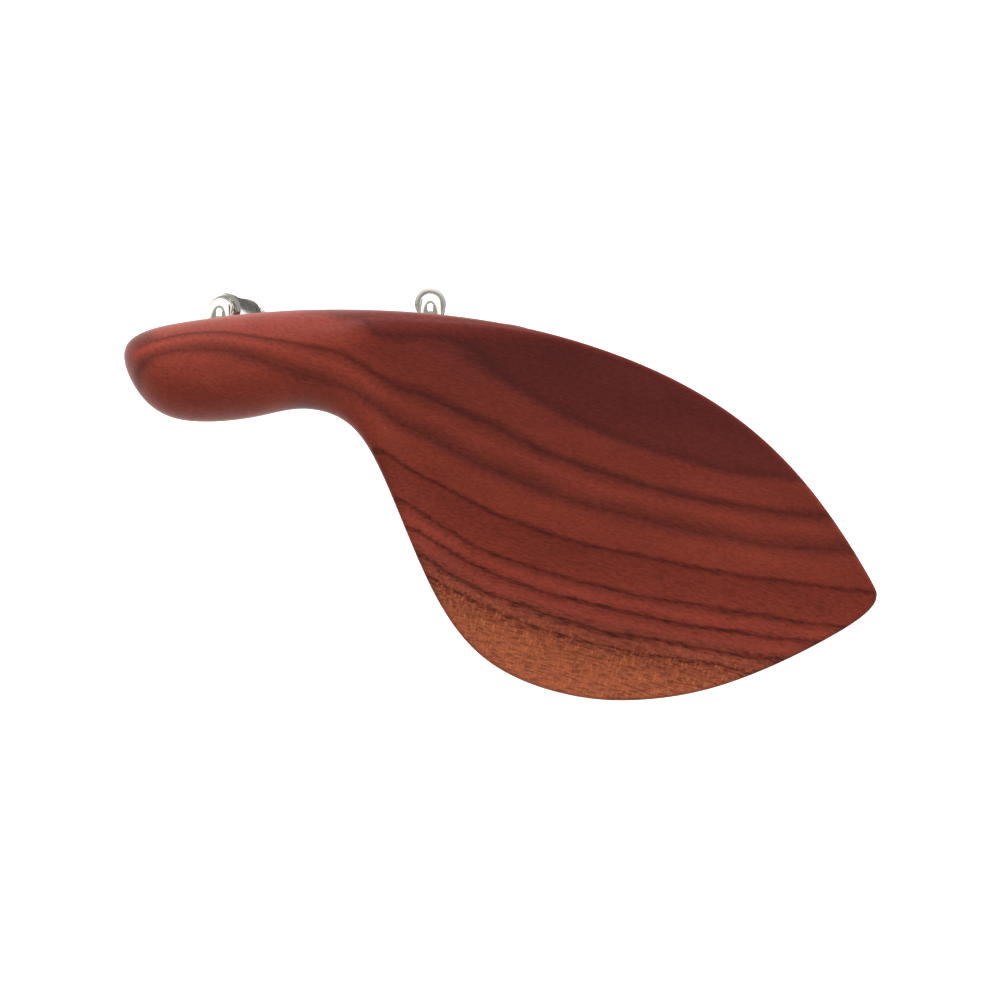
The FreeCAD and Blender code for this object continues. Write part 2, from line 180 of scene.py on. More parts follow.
# Stained pear wood under a thin satin oil: a dark even heart, whose colour is partly heartwood and
# partly painted shade of the cup's steep inner wall below the tail crest, growth lines that start
# sharp and fade, and a paler zone of sapwood with upright ray flecks
grain = {
    "slope": (0.29, 1.0, -1.21),         # mm of growth per mm along X, Y and Z
    "swing": (2.7, -17.0, 40.0, 22.0),    # the grain's swing, where it is lowest, its wave, its fading
    "armBand": (-37.6, -3.0, 2.0),        # lowest growth value in the arm, where it ends, its slope
    # the edge over the arm of the dark heart, which is heartwood with painted shade of the cup's inner
    # wall in it: its growth value, where it crosses, its slope there, where the cup begins, and the
    # slope after that
    "heartShadeEdge": (-24.9, 3.1, 0.3, 8.0, 0.3),
    "span": (-66.0, -20.0),              # growth values at the two ends of the colours below
    "sapwood": (-52.0, -57.0), "heartwoodAndShade": (-27.0, -25.0),    # where each comes in, and is full
    # growth value, colour there, and how thickly it is set with open pores
    "rings": [(-66.0, "985037", 0.5), (-61.0, "954d34", 0.55), (-58.5, "8c472f", 0.6), (-56.8, "82402b", 0.6),
              (-55.9, "7b3926", 0.9), (-55.4, "602a1d", 1.0), (-54.8, "7d3b2a", 0.5), (-53.9, "813d2c", 0.4),
              (-53.1, "6e3024", 0.9), (-52.6, "521f17", 1.0), (-52.0, "743326", 0.6), (-50.7, "82362a", 0.1),
              (-49.2, "763025", 0.4), (-48.6, "511d16", 1.0), (-48.1, "7a3226", 0.5), (-47.0, "853528", 0.1),
              (-45.7, "6e2c21", 0.4), (-45.1, "551f17", 0.9), (-44.5, "752e22", 0.3),
              (-39.5, "6e2a1f", 0.3), (-38.9, "541d16", 0.7), (-38.3, "782f23", 0.1), (-35.3, "7f3325", 0.0),
              (-34.2, "752f24", 0.1), (-33.3, "5d251c", 0.3), (-30.6, "843528", 0.0), (-29.4, "6f2d22", 0.1),
              # from -24.9 up the stops are the dark heart: heartwood colour with painted shade of the cup's
              # steep inner wall
              (-28.9, "57211a", 0.3), (-28.0, "7d3226", 0.0), (-25.6, "7a3026", 0.0), (-24.9, "59231d", 0.0),
              (-24.2, "642620", 0.0)],
    # noise layers: cell size in mm along the grain, across it and up, then octaves
    "wobble": (12.0, 4.0, 4.0, 2), "jag": (1.2, 0.5, 0.5, 2), "fibre": (0.9, 0.28, 0.28, 3),
    "cloud": (14.0, 5.0, 5.0, 2), "streak": (1.6, 0.2, 0.2, 2), "pore": (2.2, 0.3, 0.3, 2),
    "ray": (0.32, 1.1, 0.6, 2), "lean": -0.28,
    "pinKnot": (71.0, -24.0, 17.0, 0.32),
}


def stainedPear():
    material, tree, shader = newMaterial("satin oiled stained pear")
    place = node(tree, "ShaderNodeTexCoord").outputs["Object"]
    mmPlace = node(tree, "ShaderNodeVectorMath", {0: place, "Scale": 1000.0}, operation="SCALE").outputs[0]
    part = node(tree, "ShaderNodeSeparateXYZ", {0: mmPlace})
    along = part.outputs["X"]
    # growth value: a tilted plane through the block, shifted by the grain's wander along the length
    plane = node(tree, "ShaderNodeVectorMath", {0: mmPlace, 1: grain["slope"]},
                 operation="DOT_PRODUCT").outputs["Value"]
    # the wander is a cosine of the length that dies away from the arm into the cup
    swing, lowest, wave, fading = grain["swing"]
    run = node(tree, "ShaderNodeMath", {0: along, 1: lowest}, operation="SUBTRACT").outputs[0]
    angle = node(tree, "ShaderNodeMath", {0: run, 1: 2 * math.pi / wave}, operation="MULTIPLY").outputs[0]
    swayed = node(tree, "ShaderNodeMath", {0: angle}, operation="COSINE").outputs[0]
    decay = node(tree, "ShaderNodeMath", {0: run, 1: -1 / fading}, operation="MULTIPLY").outputs[0]
    decay = node(tree, "ShaderNodeMath", {0: decay}, operation="EXPONENT").outputs[0]
    swayed = node(tree, "ShaderNodeMath", {0: swayed, 1: decay}, operation="MULTIPLY").outputs[0]
    wander = node(tree, "ShaderNodeMath", {0: swayed, 1: -swing}, operation="MULTIPLY").outputs[0]
    growth = node(tree, "ShaderNodeMath", {0: plane, 1: wander}).outputs[0]
    floorValue, armEnd, fall = grain["armBand"]
    past = node(tree, "ShaderNodeMath", {0: along, 1: armEnd}, operation="SUBTRACT").outputs[0]
    past = node(tree, "ShaderNodeMath", {0: past, 1: 0.0}, operation="MAXIMUM").outputs[0]
    least = node(tree, "ShaderNodeMath", {0: past, 1: -fall, 2: floorValue},
                 operation="MULTIPLY_ADD").outputs[0]
    growth = node(tree, "ShaderNodeMath", {0: growth, 1: least, 2: 1.0},
                  operation="SMOOTH_MAX").outputs[0]
    # over the arm the edge of the dark heart, heartwood with painted shade in it, stands upright, a
    # plane through Y + slope X, until the cup begins
    edgeValue, edgePlace, gain, cupStart, climb = grain["heartShadeEdge"]
    flat = node(tree, "ShaderNodeMath", {0: along, 1: grain["slope"][0], 2: part.outputs["Y"]},
                operation="MULTIPLY_ADD").outputs[0]
    upright = node(tree, "ShaderNodeMath", {0: flat, 1: gain, 2: edgeValue - gain * edgePlace},
                   operation="MULTIPLY_ADD").outputs[0]
    past = node(tree, "ShaderNodeMath", {0: along, 1: cupStart}, operation="SUBTRACT").outputs[0]
    past = node(tree, "ShaderNodeMath", {0: past, 1: 0.0}, operation="MAXIMUM").outputs[0]
    most = node(tree, "ShaderNodeMath", {0: past, 1: climb, 2: upright}, operation="MULTIPLY_ADD").outputs[0]
    growth = node(tree, "ShaderNodeMath", {0: growth, 1: most, 2: 0.5}, operation="SMOOTH_MIN").outputs[0]
    # the fibres lie along the log, a little askew to the violin's length
    fibrePlace = node(tree, "ShaderNodeVectorRotate", {"Vector": mmPlace, "Angle": -grain["lean"]},
                      rotation_type="Z_AXIS").outputs[0]

    layer = {}
    for name in ("wobble", "jag", "fibre", "cloud", "streak", "pore", "ray"):
        *size, octaves = grain[name]
        scaled = node(tree, "ShaderNodeVectorMath", {0: fibrePlace, 1: [1 / s for s in size]},
                      operation="MULTIPLY").outputs[0]
        noise = {"Vector": scaled, "Scale": 1.0, "Detail": float(octaves), "Roughness": 0.55}
        layer[name] = node(tree, "ShaderNodeTexNoise", noise).outputs[0]

    # the growth lines wander by 0.4 mm over a centimetre and are jagged by the fibres they cross
    ragged = growth
    for name, reach in (("wobble", 1.3), ("jag", 0.55)):
        shift = node(tree, "ShaderNodeMath", {0: layer[name], 1: 0.5}, operation="SUBTRACT").outputs[0]
        ragged = node(tree, "ShaderNodeMath", {0: shift, 1: reach, 2: ragged},
                      operation="MULTIPLY_ADD").outputs[0]
    low, high = grain["span"]
    across = node(tree, "ShaderNodeMapRange", {0: ragged, 1: low, 2: high, 3: 0.0, 4: 1.0}).outputs[0]
    ramp = node(tree, "ShaderNodeValToRGB", {0: across})
    stops = ramp.color_ramp.elements
    stops.remove(stops[1])
    for k, (value, colour, pores) in enumerate(grain["rings"]):
        stop = stops[0] if k == 0 else stops.new((value - low) / (high - low))
        stop.position = (value - low) / (high - low)
        stop.color = linear(colour)[:3] + [pores]
    colour = ramp.outputs["Color"]

    # fine fibres and slow clouds of tone, each a factor about 1
    for name, least, most in (("fibre", 0.80, 1.20), ("cloud", 0.90, 1.10)):
        tone = node(tree, "ShaderNodeMapRange",
                    {0: layer[name], 1: 0.3, 2: 0.7, 3: least, 4: most}).outputs[0]
        colour = node(tree, "ShaderNodeVectorMath", {0: colour, "Scale": tone}, operation="SCALE").outputs[0]

    # how much of each mark shows: a threshold on its noise, times where it grows
    (sapStart, sapFull), (heartShadeStart, heartShadeFull) = grain["sapwood"], grain["heartwoodAndShade"]
    sap = node(tree, "ShaderNodeMapRange", {0: ragged, 1: sapStart, 2: sapFull, 3: 0.0, 4: 1.0}).outputs[0]
    # where the dark heart lies, heartwood with painted shade in it, the streaks show less
    heartShadeMask = node(tree, "ShaderNodeMapRange",
                 {0: ragged, 1: heartShadeStart, 2: heartShadeFull, 3: 1.0, 4: 0.25}).outputs[0]
    for name, start, full, where, tint, strength in (
            ("streak", 0.58, 0.80, heartShadeMask, "a04a34", 0.30),
            ("ray", 0.50, 0.72, sap, "ba6a3d", 0.65),
            ("pore", 0.50, 0.62, ramp.outputs["Alpha"], "32110e", 0.85)):
        shown = node(tree, "ShaderNodeMapRange",
                     {0: layer[name], 1: start, 2: full, 3: 0.0, 4: strength}).outputs[0]
        shown = node(tree, "ShaderNodeMath", {0: shown, 1: where}, operation="MULTIPLY").outputs[0]
        mix = node(tree, "ShaderNodeMix", {0: shown}, data_type="RGBA")
        tree.links.new(colour, mix.inputs[6])
        mix.inputs[7].default_value = linear(tint)
        colour = mix.outputs[2]

    # one pin knot near the tip
    *spot, radius = grain["pinKnot"]
    away = node(tree, "ShaderNodeVectorMath", {0: mmPlace, 1: spot}, operation="DISTANCE").outputs["Value"]
    shown = node(tree, "ShaderNodeMapRange", {0: away, 1: radius, 2: radius * 1.8, 3: 0.9, 4: 0.0}).outputs[0]
    mix = node(tree, "ShaderNodeMix", {0: shown}, data_type="RGBA")
    tree.links.new(colour, mix.inputs[6])
    mix.inputs[7].default_value = linear("1c0d0c")
    tree.links.new(mix.outputs[2], shader.inputs["Base Color"])

    # under the oil the fibres still show in the gloss and in a relief of a few hundredths of a mm
    rough = node(tree, "ShaderNodeMapRange", {0: layer["fibre"], 1: 0.3, 2: 0.7, 3: 0.52, 4: 0.42}).outputs[0]
    tree.links.new(rough, shader.inputs["Roughness"])
    relief = node(tree, "ShaderNodeBump",
                  {"Height": layer["fibre"], "Strength": 0.25, "Distance": 0.00003}).outputs[0]
    tree.links.new(relief, shader.inputs["Normal"])
    shader.inputs["Specular IOR Level"].default_value = 0.09
    shader.inputs["Sheen Weight"].default_value = 0.3
    shader.inputs["Sheen Roughness"].default_value = 0.35
    shader.inputs["Sheen Tint"].default_value = linear("f4dcd6")
    return material


# Agglomerated cork: pale granules 0.4 to 1 mm across in a darker binder, dull and slightly pitted
def pressedCork():
    material, tree, shader = newMaterial("pressed agglomerated cork")
    place = node(tree, "ShaderNodeTexCoord").outputs["Object"]
    cells = node(tree, "ShaderNodeTexVoronoi", {"Vector": place, "Scale": 1400.0})
    seams = node(tree, "ShaderNodeTexVoronoi", {"Vector": place, "Scale": 1400.0}, feature="DISTANCE_TO_EDGE")
    grains = node(tree, "ShaderNodeSeparateColor", {0: cells.outputs["Color"]}).outputs[0]
    ramp = node(tree, "ShaderNodeValToRGB", {0: grains})
    for k, (spot, colour) in enumerate(((0.0, "76593c"), (0.5, "9a7b57"), (1.0, "b5966c"))):
        stops = ramp.color_ramp.elements
        stop = stops[0] if k == 0 else (stops[-1] if k == 2 else stops.new(spot))
        stop.position, stop.color = spot, linear(colour)
    edge = node(tree, "ShaderNodeMapRange",
                {0: seams.outputs["Distance"], 1: 0.0, 2: 0.09, 3: 0.7, 4: 0.0}).outputs[0]
    mix = node(tree, "ShaderNodeMix", {0: edge}, data_type="RGBA")
    tree.links.new(ramp.outputs["Color"], mix.inputs[6])
    mix.inputs[7].default_value = linear("453022")
    fine = node(tree, "ShaderNodeTexNoise", {"Vector": place, "Scale": 5200.0, "Detail": 3.0}).outputs[0]
    height = node(tree, "ShaderNodeMath", {0: seams.outputs["Distance"], 1: fine}, operation="ADD").outputs[0]
    relief = node(tree, "ShaderNodeBump", {"Height": height, "Strength": 0.6, "Distance": 0.00008}).outputs[0]
    tree.links.new(mix.outputs[2], shader.inputs["Base Color"])
    tree.links.new(relief, shader.inputs["Normal"])
    shader.inputs["Roughness"].default_value = 0.86
    shader.inputs["Specular IOR Level"].default_value = 0.25
    return material


# A metal part: its finish comes from the tint, how rough the plating or brushing left it, and a
# faint cloud of tarnish or handling marks
metalFinish = {
    "polished nickel plate": {"tint": "d6d2ca", "dull": "b9b4ab",
        "rough": (0.09, 0.17), "cell": 2.2, "stretch": (1, 1, 1)},
    "zinc plated screw steel": {"tint": "b8bcc2", "dull": "8d9197",
        "rough": (0.24, 0.38), "cell": 0.9, "stretch": (1, 1, 0.3)},
    "turned brass": {"tint": "bf9c62", "dull": "957648",
        "rough": (0.20, 0.34), "cell": 0.8, "stretch": (1, 1, 0.3)},
}


def metal(name):
    finish = metalFinish[name]
    material, tree, shader = newMaterial(name)
    place = node(tree, "ShaderNodeTexCoord").outputs["Object"]
    perMetre = [1000 / finish["cell"] / s for s in finish["stretch"]]
    scaled = node(tree, "ShaderNodeVectorMath", {0: place, 1: perMetre}, operation="MULTIPLY").outputs[0]
    cloud = node(tree, "ShaderNodeTexNoise", {"Vector": scaled, "Scale": 1.0, "Detail": 4.0}).outputs[0]
    worn = node(tree, "ShaderNodeMapRange", {0: cloud, 1: 0.35, 2: 0.75}).outputs[0]
    mix = node(tree, "ShaderNodeMix", {0: worn}, data_type="RGBA")
    mix.inputs[6].default_value, mix.inputs[7].default_value = linear(finish["tint"]), linear(finish["dull"])
    smooth, coarse = finish["rough"]
    rough = node(tree, "ShaderNodeMapRange", {0: cloud, 1: 0.3, 2: 0.7, 3: smooth, 4: coarse}).outputs[0]
    relief = node(tree, "ShaderNodeBump", {"Height": cloud, "Strength": 0.08, "Distance": 0.00004}).outputs[0]
    tree.links.new(mix.outputs[2], shader.inputs["Base Color"])
    tree.links.new(rough, shader.inputs["Roughness"])
    tree.links.new(relief, shader.inputs["Normal"])
    shader.inputs["Metallic"].default_value = 1.0
    return material


wood = {
    "outline": [(-30.7, -4.6), (-26.9, -12.6), (-19.0, -15.3), (-9.0, -14.3), (-2.4, -13.1), (4.2, -14.5),
                (9.5, -21.0), (17.2, -39.7), (27.2, -54.3), (41.0, -60.6), (52.0, -61.6), (67.0, -58.8),
                (84.0, -50.5), (89.6, -46.3), (90.9, -44.0), (89.8, -41.1), (79.9, -27.0), (63.0, -12.2),
                (41.0, -2.7), (19.0, 1.6), (-3.0, 2.3), (-18.0, 1.0), (-28.0, -1.2)],
    # heights and widths are (x, mm) pairs along the length
    "crest": [(-31, 15.5), (-20, 17.4), (-8, 20.4), (4, 23.2), (15, 25.4), (28, 26.4), (45, 24.3),
              (65, 20.9), (80, 19.1), (92, 18.4)],
    "lip": [(-31, 15.5), (-20, 17.2), (-8, 20.0), (4, 21.6), (15, 17.8), (28, 15.6), (45, 15.0),
            (65, 15.8), (80, 17.1), (92, 18.4)],
    "sag": [(-31, 0.0), (-20, -0.6), (-8, -1.0), (4, -0.4), (15, 1.2), (28, 2.6), (45, 2.4), (65, 1.6),
            (80, 0.7), (92, 0.0)],
    "thickTail": [(-31, 8.6), (-20, 9.8), (-8, 8.6), (4, 9.4), (15, 11.0), (28, 9.0), (45, 6.4),
                  (65, 5.2), (80, 4.7), (92, 4.3)],
    "thickScroll": [(-31, 8.6), (-20, 9.8), (-8, 8.6), (4, 9.2), (15, 6.4), (28, 4.8), (45, 4.5),
                    (65, 4.4), (80, 4.4), (92, 4.3)],
    "roundTail": [(-31, 7.0), (-20, 7.4), (4, 7.0), (15, 6.2), (24, 4.8), (31, 2.9), (39, 1.3),
                  (50, 0.9), (92, 0.9)],
    "roundScroll": [(-31, 7.0), (-20, 7.4), (-5, 6.8), (6, 4.6), (14, 1.7), (22, 0.9), (92, 0.9)],
    "crestPower": 3.0,
    "roundDepth": 0.9,           # of the rounding's width
    "underRound": 2.4, "underRoundDepth": 1.6,
    "stations": 440, "endReach": (6.0, 3.0), "endSteps": (26, 18),
    "edgeSteps": 14, "topRows": 54, "underRows": 34, "wallRows": 3,
}
shape = {key: smoothCurve(wood[key]) for key in
         ("crest", "lip", "sag", "thickTail", "thickScroll", "roundTail", "roundScroll")}
edge = closedSpline(wood["outline"], 60)
first, last = edge[:, 0].argmin(), edge[:, 0].argmax()
loop = np.roll(edge, -first, 0)
far = (last - first) % len(edge)
scrollSide, tailSide = loop[:far + 1], np.vstack([loop[far:], loop[:1]])[::-1]


def edgeDistance(x, y):
    # distance from each point to the nearest of the outline's short straight pieces
    start, run = edge, np.roll(edge, -1, 0) - edge
    length = (run ** 2).sum(1)
    found = []
    for px, py in zip(x, y):          # one row of points at a time
        along = ((px[:, None] - start[:, 0]) * run[:, 0] + (py[:, None] - start[:, 1]) * run[:, 1]) / length
        along = np.clip(along, 0, 1)
        gap = np.hypot(start[:, 0] + along * run[:, 0] - px[:, None],
                       start[:, 1] + along * run[:, 1] - py[:, None])
        found.append(gap.min(1))
    return np.array(found)


def quarterRound(distance, width, depth):
    # how far a quarter ellipse has dropped at this distance in from the edge
    return depth * (1 - np.sqrt(np.clip(1 - np.clip(1 - distance / width, 0, 1) ** 2, 0, 1)))


def spread(a, b, low, high, steps, rows):
    # places from low to high across each section: cosine steps over a at the low edge and b at the
    # high one, even steps between
    s = 1 - np.cos(np.linspace(0, math.pi / 2, steps + 1))
    middle = np.linspace(0, 1, rows + 1)[1:-1]
    low, high, a, b = low[:, None], high[:, None], a[:, None], b[:, None]
    return np.hstack([low + a * s, low + a + (high - low - a - b) * middle, high - b * s[::-1]])


def woodBody():
    reach, steps = wood["endReach"], wood["endSteps"]
    x0, x1 = scrollSide[0, 0], scrollSide[-1, 0]
    x = spread(np.array([reach[0]]), np.array([reach[1]]), np.array([x0]), np.array([x1]),
               steps[0], wood["stations"])[0]
    scroll, tail = np.interp(x, *scrollSide.T), np.interp(x, *tailSide.T)
    width = tail - scroll
    lean = [np.sqrt(1 + np.gradient(side, x) ** 2) for side in (scroll, tail)]

    def rows(nearScroll, nearTail, count):
        a, b = (np.minimum(near * k, 0.45 * width) for near, k in zip((nearScroll, nearTail), lean))
        y = spread(a, b, scroll, tail, wood["edgeSteps"], count)
        return np.repeat(x[:, None], y.shape[1], 1), y

    xTop, yTop = rows(shape["roundScroll"](x), shape["roundTail"](x), wood["topRows"])
    underRound = np.full_like(x, wood["underRound"])
    xLow, yLow = rows(underRound, underRound, wood["underRows"])

    def heights(px, py):
        # flat is the carved face: it climbs from the lip to the crest with the cube of the share t
        # across, less a parabola of sag; under lies the wood's thickness below it
        t = np.clip((py - scroll[:, None]) / np.maximum(width, 1e-9)[:, None], 0, 1)
        at = {key: curve(x)[:, None] for key, curve in shape.items()}
        flat = (at["lip"] + (at["crest"] - at["lip"]) * t ** wood["crestPower"] - at["sag"] * 4 * t * (1 - t))
        d = edgeDistance(px, py)
        rim = at["roundScroll"] + (at["roundTail"] - at["roundScroll"]) * t
        top = flat - quarterRound(d, rim, wood["roundDepth"] * rim)
        under = (flat - at["thickScroll"] - (at["thickTail"] - at["thickScroll"]) * t
                 + quarterRound(d, wood["underRound"], wood["underRoundDepth"]))
        return top, under

    top = np.stack([xTop, yTop, heights(xTop, yTop)[0]], -1)
    under = np.stack([xLow, yLow, heights(xLow, yLow)[1]], -1)[:, ::-1]
    share = np.linspace(0, 1, wood["wallRows"] + 2)[1:-1][None, :, None]
    tailWall = top[:, -1:] * (1 - share) + under[:, :1] * share
    scrollWall = under[:, -1:] * (1 - share) + top[:, :1] * share
    ring = np.concatenate([top, tailWall, under, scrollWall], 1)
    points, faces = closeGrid(ring, capEnds=False)
    return makeMesh("chin_plate_wood", points, faces)


legs = {"treble": (-16.7, 3.2), "bass": (18.3, 4.1)}        # each leg's axis, X and Y
feet = {
    # centre and half size at the sole, the same where the foot meets the body, and its height there
    # at the scroll side and at the tail side
    "treble": ((-19.8, -7.2), (8.2, 6.0), (-20.0, -7.1), (8.3, 6.3), (9.6, 9.6)),
    "bass": ((24.2, -9.1), (12.0, 8.6), (25.5, -11.9), (15.8, 12.3), (10.8, 19.4)),
    "soleZ": 1.8, "corner": 2.5, "columns": 96, "rows": 14,
    "slotWidth": 6.8, "slotReach": 14.6, "slotCeiling": 5.2,
    "corkInset": 0.25, "corkEdge": 0.25,
}
screw = {"back": (7.3, 11.5), "radius": 1.2, "seat": 4.0, "length": 9.0, "tip": 2.0, "tipRadius": 0.15}


def oblong(centre, half, columns=96, corner=2.5):
    # superellipse |x/a|^n + |y/b|^n = 1
    a = np.linspace(0, 2 * math.pi, columns, endpoint=False)
    c, s = np.cos(a), np.sin(a)
    return np.stack([centre[0] + half[0] * np.sign(c) * np.abs(c) ** (2 / corner),
                     centre[1] + half[1] * np.sign(s) * np.abs(s) ** (2 / corner)], -1)


def prism(outline, levels):
    # an outline carried up through (height, inset) levels; inset shrinks it about its middle
    middle = (outline.min(0) + outline.max(0)) / 2
    half = (outline.max(0) - outline.min(0)) / 2
    rings = [np.column_stack([middle + (outline - middle) * (1 - inset / half), np.full(len(outline), z)])
             for z, inset in levels]
    return closeGrid(np.array(rings))


def lathe(x, y, profile, columns=32):
    # (height, radius) profile turned about a vertical axis
    a = np.linspace(0, 2 * math.pi, columns, endpoint=False)
    z, r = np.array(profile, float).T
    ring = np.stack([x + r[:, None] * np.cos(a), y + r[:, None] * np.sin(a),
                     np.repeat(z[:, None], columns, 1)], -1)
    return closeGrid(ring)


def slotOutline(leg, margin=0.0):
    # straight sides that run past the tail edge, and a round scroll end
    half = feet["slotWidth"] / 2 + margin
    end = leg[1] - feet["slotReach"] + feet["slotWidth"] / 2
    a = np.linspace(math.pi, 2 * math.pi, 25)
    arc = np.column_stack([leg[0] + half * np.cos(a), end + half * np.sin(a)])
    return np.vstack([arc, [leg[0] + half, leg[1] + 2], [leg[0] - half, leg[1] + 2]])


def foot(name):
    # ring k stands at share h of the way up and has grown by h squared, so that the foot flares
    # into the body
    low, lowHalf, high, highHalf, rise = (np.array(v) for v in feet[name])
    h = np.linspace(0, 1, feet["rows"])[:, None, None]
    centre, half = low + (high - low) * h ** 2, lowHalf + (highHalf - lowHalf) * h ** 2
    plan = centre + half * oblong((0, 0), (1, 1), feet["columns"], feet["corner"])
    toTail = (plan[..., 1:] - centre[..., 1:] + half[..., 1:]) / (2 * half[..., 1:])
    z = feet["soleZ"] + (rise[0] + (rise[1] - rise[0]) * toTail - feet["soleZ"]) * h
    return closeGrid(np.concatenate([plan, z], -1))


def softSlab(z0, z1, edge, steps=4):
    # levels of a slab whose edges are rounded by a quarter circle
    a = np.linspace(0, math.pi / 2, steps + 1)
    low = [(z0 + edge * (1 - math.cos(v)), edge * (1 - math.sin(v))) for v in a]
    return low + [(z0 + z1 - z, inset) for z, inset in low[::-1]]


def woodPiece():
    piece = woodBody()
    for name, leg in legs.items():
        combine(piece, makeMesh("foot", *foot(name)), "UNION")
        slot = prism(slotOutline(leg), [(-1.0, 0), (feet["slotCeiling"], 0)])
        combine(piece, makeMesh("slot", *slot), "DIFFERENCE")
        for back in screw["back"]:
            tipZ = screw["seat"] + screw["length"]
            pilot = [(screw["seat"], screw["radius"]), (tipZ - screw["tip"], screw["radius"]),
                     (tipZ, screw["tipRadius"])]
            hole = lathe(leg[0], leg[1] - back, pilot)
            combine(piece, makeMesh("hole", *hole), "DIFFERENCE")
    return piece


def solePad(name):
    centre, half, *_ = feet[name]
    inner = [h - feet["corkInset"] for h in half]
    levels = softSlab(0, feet["soleZ"], feet["corkEdge"])
    pad = makeMesh(name + "_sole_cork_pad", *prism(oblong(centre, inner), levels))
    cutter = makeMesh("slot", *prism(slotOutline(legs[name], feet["corkInset"]), [(-1, 0), (3, 0)]))
    combine(pad, cutter, "DIFFERENCE")
    return pad


jaw = {"width": 11.0, "length": 13.0, "start": 5.8, "corner": 2.2, "top": -39.0, "cork": 1.8, "steps": 10}


def jawPad(name):
    # a rounded rectangle: four quarter circles at its corners
    x, tail = legs[name][0], legs[name][1] - jaw["start"]
    r = jaw["corner"] - feet["corkInset"]
    half = jaw["width"] / 2 - feet["corkInset"] - r, jaw["length"] / 2 - feet["corkInset"] - r
    a = np.linspace(0, math.pi / 2, jaw["steps"] + 1)
    parts = [np.column_stack([x + sx * half[0] + r * np.cos(a + turn), tail - jaw["length"] / 2 + sy * half[1]
                              + r * np.sin(a + turn)])
             for turn, sx, sy in ((0, 1, 1), (math.pi / 2, -1, 1), (math.pi, -1, -1), (1.5 * math.pi, 1, -1))]
    levels = softSlab(jaw["top"] - jaw["cork"], jaw["top"], feet["corkEdge"])
    return makeMesh(name + "_foot_cork_pad", *prism(np.vstack(parts), levels))


rods = {
    "radius": 1.75, "bend": 3.3, "columns": 40,
    "paddleHalf": 3.0, "paddleThick": 1.2, "paddleStart": 5.6, "paddleEnd": 14.0, "paddleCorner": 8.0,
    "pitch": 0.6, "depth": 0.34, "perTurn": 8, "runOut": 0.9, "chamfer": 0.45,
    # paddle's upper face, rod axis height, which way it turns, its end, its hand, hole places and radius
    "upper": (5.2, 3.45, -1, -10.2, -1, (7.3, 11.5), 1.35),
    "lower": (-42.0, -41.45, 1, -18.6, 1, (7.5, 11.3), 0.9),
}


def bentRod(name, end):
    # sections carried along one line: flat paddle, forged neck, quarter bend, threaded straight
    x, y = legs[name]
    seat, axisZ, side, endZ, hand, holes, holeRadius = rods[end]
    r, bend, half, thick = rods["radius"], rods["bend"], rods["paddleHalf"], rods["paddleThick"]
    tip, neck = y - rods["paddleEnd"], y - rods["paddleStart"]
    flatZ = seat - thick / 2
    angle = np.linspace(0, math.pi / 2, 15)

    # each row: y, z, half width, half height, superellipse power, tilt, thread position
    y0 = np.concatenate([tip + half * (1 - np.cos(angle)), np.linspace(tip + half, neck, 9)[1:]])
    w0 = half * np.sqrt(np.clip(1 - (1 - np.clip((y0 - tip) / half, 0, 1)) ** 2, 0, 1))
    rows = [(v, flatZ, max(w, 1e-4), thick / 2, rods["paddleCorner"], 0.0, -1.0) for v, w in zip(y0, w0)]
    for u in np.linspace(0, 1, 15)[1:]:
        ease = u * u * (3 - 2 * u)
        power = rods["paddleCorner"] + (2 - rods["paddleCorner"]) * ease ** 0.5
        rows.append((neck + (y - bend - neck) * u, flatZ + (axisZ - flatZ) * ease, half + (r - half) * ease,
                     thick / 2 + (r - thick / 2) * ease, power, 0.0, -1.0))
    for a in angle[1:]:
        rows.append((y - bend + bend * math.sin(a), axisZ + side * bend * (1 - math.cos(a)), r, r, 2.0,
                     side * a, -1.0))
    top = axisZ + side * bend
    count = round(abs(endZ - top) / rods["pitch"] * rods["perTurn"])
    run = np.arange(1, count + 1) * rods["pitch"] / rods["perTurn"]
    run = run[run < abs(endZ - top) - rods["chamfer"]]
    rows += [(y, top + side * s, r, r, 2.0, side * math.pi / 2, s) for s in run]
    for k in (0.0, 1.0):
        slim = r - rods["chamfer"] * k
        rows.append((y, endZ - side * rods["chamfer"] * (1 - k), slim, slim, 2.0, side * math.pi / 2, -1.0))

    row = np.array(rows)[:, :, None]
    cy, cz, a, b, power, tilt, s = (row[:, i] for i in range(7))
    turn = np.linspace(0, 2 * math.pi, rods["columns"], endpoint=False)[None]
    c, n = np.cos(turn), np.sin(turn)
    # V thread, its flanks about 68 degrees apart: the radius falls from crest to root in a triangle
    # wave of s / pitch - hand * turn, with a flat at the crest and at the root
    wave = np.abs(2 * ((s / rods["pitch"] - hand * turn / (2 * math.pi)) % 1) - 1)
    length = abs(endZ - top)
    fade = np.clip(s / rods["runOut"], 0, 1) * np.clip((length - rods["chamfer"] - s) / rods["runOut"], 0, 1)
    cut = np.where(s >= 0, rods["depth"] * fade * np.clip((wave - 0.12) / 0.76, 0, 1), 0.0)
    px = (a - cut) * np.sign(c) * np.abs(c) ** (2 / power)
    pn = (b - cut) * np.sign(n) * np.abs(n) ** (2 / power)
    points = np.stack([x + px, cy - pn * np.sin(tilt), cz + pn * np.cos(tilt)], -1)
    piece = makeMesh(name + "_" + end + "_rod_threaded", *closeGrid(points))
    for back in holes:
        hole = lathe(x, y - back, [(seat - 2 * thick, holeRadius), (seat + thick, holeRadius)], 48)
        combine(piece, makeMesh("hole", *hole), "DIFFERENCE")
    return piece


pear, cork = stainedPear(), pressedCork()
nickel, steel, brass = (metal(name) for name in metalFinish)
wooden = woodPiece()
dress(wooden, "wooden_body", pear, ["chin_plate"], sharp=50)
print("wood", len(wooden.data.vertices), "points")

